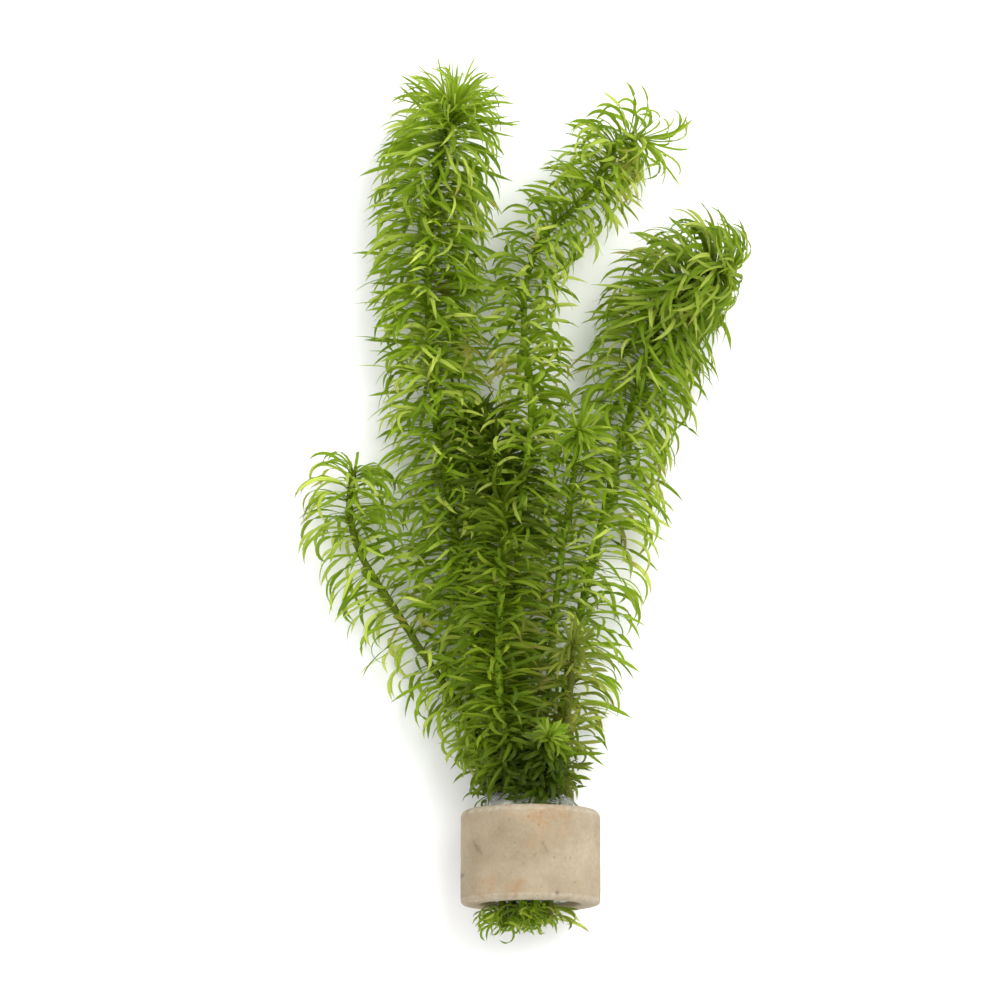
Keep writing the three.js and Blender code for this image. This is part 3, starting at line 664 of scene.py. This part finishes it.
def clay_material():
    material, tree, output = new_material("fired_clay")
    marks = add_node(tree, "SeparateColor", {"Color": add_node(
        tree, "Attribute", attribute_name="clay_marks").outputs["Color"]})
    where = add_node(tree, "TexCoord").outputs["Object"]
    broad = add_node(tree, "TexNoise", {"Vector": where, "Scale": 55.0, "Detail": 5.0, "Roughness": 0.6})
    grain = add_node(tree, "TexNoise", {"Vector": where, "Scale": 900.0, "Detail": 5.0, "Roughness": 0.7})
    speck = add_node(tree, "TexVoronoi", {"Vector": where, "Scale": 420.0, "Randomness": 1.0})
    blotch = add_node(tree, "TexNoise", {
        "Vector": where, "Scale": 240.0, "Detail": 6.0, "Roughness": 0.75})
    colour = ramp(tree, broad.outputs["Fac"], [
        (0.3, (0.245, 0.195, 0.123)), (0.5, (0.305, 0.248, 0.166)), (0.72, (0.38, 0.322, 0.225))])
    dust = ramp(tree, grain.outputs["Fac"], [(0.35, (0.93, 0.925, 0.92)), (0.65, (1.06, 1.06, 1.06))])
    colour = blend_colours(tree, 1.0, colour, dust, "MULTIPLY")
    patchy = math_node(tree, "MULTIPLY", math_node(tree, "SUBTRACT", blotch.outputs["Fac"], 0.44), 7.0)
    patchy = math_node(tree, "MINIMUM", math_node(tree, "MAXIMUM", patchy, 0.0), 1.0)
    stain = math_node(tree, "MULTIPLY_ADD", patchy, 0.8, 0.2)
    stain = math_node(tree, "MULTIPLY", marks.outputs[0], stain)
    colour = blend_colours(tree, math_node(tree, "MULTIPLY", stain, 0.75), colour, (0.3, 0.155, 0.055, 1))
    colour = blend_colours(tree, marks.outputs[1], colour, (0.09, 0.075, 0.045, 1))
    colour = blend_colours(tree, math_node(tree, "MULTIPLY", marks.outputs[2], 0.6), colour,
                           (0.42, 0.37, 0.29, 1))
    freckle = math_node(tree, "LESS_THAN", speck.outputs["Distance"], 0.16)
    freckle = math_node(tree, "MULTIPLY", freckle, math_node(tree, "MULTIPLY_ADD", patchy, 0.35, 0.08))
    colour = blend_colours(tree, freckle, colour, (0.16, 0.1, 0.05, 1))
    height = math_node(tree, "MULTIPLY_ADD", grain.outputs["Fac"], 0.6, speck.outputs["Distance"])
    bump = add_node(tree, "Bump", {"Height": height, "Strength": 0.2, "Distance": 0.00025})
    rough = math_node(tree, "MULTIPLY_ADD", broad.outputs["Fac"], 0.2, 0.72)
    face = add_node(tree, "BsdfPrincipled", {
        "Base Color": colour, "Roughness": rough, "Specular IOR Level": 0.3, "Normal": bump.outputs[0]})
    tree.links.new(face.outputs[0], output.inputs["Surface"])
    return material


def wool_material():
    material, tree, output = new_material("wool")
    where = add_node(tree, "TexCoord").outputs["Object"]
    cloud = add_node(tree, "TexNoise", {"Vector": where, "Scale": 220.0, "Detail": 5.0, "Roughness": 0.7})
    colour = ramp(tree, cloud.outputs["Fac"], [
        (0.3, (0.42, 0.44, 0.38)), (0.5, (0.62, 0.64, 0.58)), (0.72, (0.8, 0.81, 0.77))])
    face = add_node(tree, "BsdfPrincipled", {
        "Base Color": colour, "Roughness": 1.0, "Specular IOR Level": 0.0})
    tree.links.new(face.outputs[0], output.inputs["Surface"])
    return material


def floor_material():
    material, tree, output = new_material("floor")
    face = add_node(tree, "BsdfPrincipled", {"Base Color": (0.9, 0.9, 0.9, 1), "Roughness": 0.8})
    tree.links.new(face.outputs[0], output.inputs["Surface"])
    return material


# The clay ring and the wool

def ring_profile(pieces):
    outer, bore, length = AXIS_HEIGHT, RING["bore"], RING["length"]
    upper, lower, inner = RING_EDGE["upper"], RING_EDGE["lower"], RING_EDGE["bore"]
    corners = [(outer - lower, lower, lower, -90), (outer - upper, length - upper, upper, 0),
               (bore + inner, length - inner, inner, 90), (bore + inner, inner, inner, 180)]
    profile = []
    for x, y, radius, start in corners:
        for piece in range(pieces + 1):
            angle = math.radians(start + piece * 90 / pieces)
            profile.append((x + radius * math.cos(angle), y + radius * math.sin(angle)))
    return profile


def turned_faces(sides, rows):
    faces = []
    for side in range(sides):
        after = (side + 1) % sides
        for row in range(rows):
            following = (row + 1) % rows
            faces.append((side * rows + row, side * rows + following,
                          after * rows + following, after * rows + row))
    return faces


def spread(x, y, spot_x, spot_y, radius):
    return math.exp(-((x - spot_x) ** 2 + (y - spot_y) ** 2) / radius ** 2)


def clay_marks(x, y, on_top):
    """Stain and dark nick at a place on the ring, seen from above: across and along it."""
    ragged = noise.noise(Vector((x, y, 5)) * 0.45) * 1.8
    stain = 0.35 * max(0, noise.noise(Vector((x, y, 20 if on_top else 40)) * 0.16))
    dark = 0
    if on_top:
        stain += sum(share * spread(x + ragged, y + ragged, *spot) for share, *spot in CLAY_STAINS)
        dark = sum(share * spread(x, y, *spot) for share, *spot in CLAY_NICKS)
        for (x0, y0), (x1, y1) in CLAY_SCRATCHES:
            share = ((x - x0) * (x1 - x0) + (y - y0) * (y1 - y0)) / ((x1 - x0) ** 2 + (y1 - y0) ** 2)
            share = min(1, max(0, share))
            dark += 0.4 * spread(x, y, lerp(x0, x1, share), lerp(y0, y1, share), 0.3)
    return min(1, stain), min(0.9, dark)


def dress_ring():
    outline = ring_profile(6)
    profile = []
    for index, (x, y) in enumerate(outline):
        following = outline[(index + 1) % len(outline)]
        outside = min(x, following[0]) > RING["bore"] + 3
        pieces = max(1, round(math.dist((x, y), following) / (0.45 if outside else 1.2)))
        profile += [(lerp(x, following[0], i / pieces), lerp(y, following[1], i / pieces))
                    for i in range(pieces)]
    points, marks = [], []
    middle = (RING["bore"] + AXIS_HEIGHT) / 2
    for side in range(RING_SIDES):
        angle = side * 2 * math.pi / RING_SIDES
        across, up = math.sin(angle), math.cos(angle)
        for radius, y in profile:
            spot = Vector((radius * across, y, radius * up))
            uneven = 0.1 * noise.noise(spot * 0.14) + 0.05 * noise.noise(spot * 0.6)
            pit = 0.12 * max(0, noise.noise(spot * 1.1 + Vector((7, 3, 1))) - 0.42) / 0.3
            proud = (uneven - pit - 0.1) * (1 if radius > middle else -1)
            x, z = (radius + proud) * across, (radius + proud) * up
            out_of_true = 0.12 * noise.noise(spot * 0.2) * (y / RING["length"] - 0.5)
            points.append((x, y + out_of_true, AXIS_HEIGHT + z))
            edge = min(y, RING["length"] - y) < 1.6 and radius > middle + 1
            wear = max(0, 0.5 + noise.noise(spot * 0.8)) if edge else 0
            marks.append((*clay_marks(x, y, up > 0 and radius > middle), wear))
    make_piece("ring", points, turned_faces(RING_SIDES, len(profile)), clay_material(),
               "clay_ring", "fired_clay", {"clay_marks": marks})


# The wool: a lumpy plug with loose fibres lying over both of its ends

def wool_top(x, z):
    lumps = 1.1 * noise.noise(Vector((x, z, 3)) * 0.23) + 0.5 * noise.noise(Vector((x, z, 8)) * 0.7)
    fall = 2.2 * (math.hypot(x, z) / WOOL["radius"]) ** 3
    return WOOL["high"] + lumps - fall - WOOL["tilt"] * x


def dress_wool():
    rings = WOOL["rings"]
    sides = WOOL["sides"]
    rows = []
    for level in range(rings * 2):
        upper = level >= rings
        share = (level - rings + 0.98) / rings if upper else (level + 0.02) / rings
        full = WOOL["radius"] * math.sin(math.pi / 2 * (1 - share if upper else share))
        for side in range(sides):
            angle = side * 2 * math.pi / sides
            around = Vector((3 * math.sin(angle), 3 * math.cos(angle), level * 0.3))
            radius = full * (1 - 0.14 * max(0, 0.4 + noise.noise(around)) * upper)
            x, z = radius * math.sin(angle), radius * math.cos(angle)
            y = wool_top(x, z) if upper else WOOL["low"] + 0.6 * noise.noise(Vector((x, z, 30)) * 0.5)
            rows.append((x, y, AXIS_HEIGHT + z))
    faces = loft_faces(1, rings * 2, sides)
    look = wool_material()
    make_piece("wool", rows, faces, look, "wool_packing", "wool")
    make_piece("wool_fibres", *wool_fibres(), look, "wool_packing", "wool")


def wool_fibres():
    rng = np.random.default_rng(WOOL["seed"])
    over_ends = end_fibres(rng, WOOL["fibres"], WOOL["joints"])
    around = loose_fibres(rng, WOOL["loose"], WOOL["joints"])
    paths = np.concatenate([over_ends, around])
    along = unit(np.gradient(paths, axis=1))
    side = unit(np.cross(along, np.array([0.31, 0.9, 0.3])))
    other = np.cross(along, side)
    rows = [paths + WOOL["fibre_radius"] * (side * math.cos(turn) + other * math.sin(turn))
            for turn in (0, 2 * math.pi / 3, 4 * math.pi / 3)]
    rows = np.stack(rows, axis=2)
    return rows.reshape(-1, 3), loft_faces(len(paths), WOOL["joints"], 3)


def end_fibres(rng, count, joints):
    """Fibres wandering over the two ends of the plug."""
    angle = rng.uniform(0, 2 * math.pi, count)
    radius = WOOL["radius"] * np.sqrt(rng.uniform(0.1, 0.95, count))
    heading = rng.uniform(0, 2 * math.pi, count)
    upper = rng.uniform(0, 1, count) < 0.8
    proud = 2.2 * rng.uniform(0, 1, count) ** 2.5
    step = rng.uniform(0.35, 0.8, count)
    x, z = radius * np.sin(angle), radius * np.cos(angle)
    turn = rng.normal(0, 0.12, count)
    paths = np.zeros((count, joints, 3))
    for joint in range(joints):
        reach = np.hypot(x, z)
        keep = np.minimum(1, (WOOL["radius"] - 0.15) / np.maximum(reach, 1e-6))
        x, z = x * keep, z * keep
        tops = np.array([wool_top(*pair) for pair in zip(x, z)])
        wave = 0.25 * np.sin(joint * 0.9 + angle * 7)
        y = np.where(upper, tops + proud + wave, WOOL["low"] - 0.3 * proud + 0.4 * wave)
        paths[:, joint] = np.stack([x, y, AXIS_HEIGHT + z], axis=1)
        turn += rng.normal(0, 0.1, count)
        heading += turn
        x, z = x + step * np.cos(heading), z + step * np.sin(heading)
    return paths


def loose_fibres(rng, count, joints):
    """Fibres wandering around the part of the plug that stands out of the ring."""
    angle = rng.uniform(0, 2 * math.pi, count)
    y = rng.uniform(WOOL["loose_from"], WOOL["loose_to"], count)
    heading = rng.normal(0, 0.5, count) + math.pi * (rng.uniform(0, 1, count) < 0.5)
    step = rng.uniform(0.3, 0.7, count)
    proud = rng.uniform(-0.9, 0.35, count)
    turn = rng.normal(0, 0.15, count)
    paths = np.zeros((count, joints, 3))
    for joint in range(joints):
        radius = WOOL["radius"] + proud - 0.5 * np.maximum(0, y - WOOL["high"] + 1.5)
        paths[:, joint] = np.stack(
            [radius * np.sin(angle), y, AXIS_HEIGHT + radius * np.cos(angle)], axis=1)
        turn += rng.normal(0, 0.12, count)
        heading += turn
        angle = angle + step * np.cos(heading) / WOOL["radius"]
        y = np.maximum(y + step * np.sin(heading), WOOL["loose_from"])
    return paths


# Floor, light and camera

def aim(thing, spot):
    thing.rotation_euler = (Vector(spot) - thing.location).to_track_quat("-Z", "Y").to_euler()


def soft_light(name, spot, size, power):
    light = bpy.data.lights.new(name, "AREA")
    light.shape = "DISK"
    light.size = size
    light.energy = power
    lamp = bpy.data.objects.new(name, light)
    lamp.location = spot
    bpy.context.scene.collection.objects.link(lamp)
    aim(lamp, (0, 0, 0))


def set_stage():
    mesh = bpy.data.meshes.new("floor")
    reach_m = 4
    mesh.from_pydata([(-reach_m, -reach_m, 0), (reach_m, -reach_m, 0), (reach_m, reach_m, 0),
                      (-reach_m, reach_m, 0)], [], [(0, 1, 2, 3)])
    mesh.materials.append(floor_material())
    floor = bpy.data.objects.new("floor", mesh)
    bpy.context.scene.collection.objects.link(floor)
    world = bpy.data.worlds.new("studio")
    world.use_nodes = True
    world.node_tree.nodes["Background"].inputs[0].default_value = (1, 1, 1, 1)
    world.node_tree.nodes["Background"].inputs[1].default_value = 1.3
    bpy.context.scene.world = world
    soft_light("key", (0.5, 0.35, 1.1), 0.8, 10)
    bpy.context.scene.view_settings.view_transform = "Standard"


def set_camera():
    elevation = math.radians(80)
    distance = 1500
    target = Vector((-8.2, 111.24, 15))
    camera_data = bpy.data.cameras.new("camera")
    camera_data.sensor_width = 36
    camera_data.lens = 36 * distance / 273
    camera = bpy.data.objects.new("camera", camera_data)
    away = Vector((0, -math.cos(elevation), math.sin(elevation)))
    camera.location = ORIGIN + (target + away * distance) * MM
    camera.rotation_euler = (-away).to_track_quat("-Z", "Y").to_euler()
    bpy.context.scene.collection.objects.link(camera)
    bpy.context.scene.camera = camera


set_camera()
set_stage()
leaf_looks = {slot: leaf_material(slot, *colours) for slot, colours in LEAF_COLOURS.items()}
stem_looks = {slot: stem_material(slot.replace("leaf", "stem"), *colours)
              for slot, colours in STEM_COLOURS.items()}
for name, shoot in SHOOTS.items():
    dress_shoot(name, shoot, leaf_looks[shoot["slot"]], stem_looks[shoot.get("stem", shoot["slot"])])
dress_ring()
dress_wool()
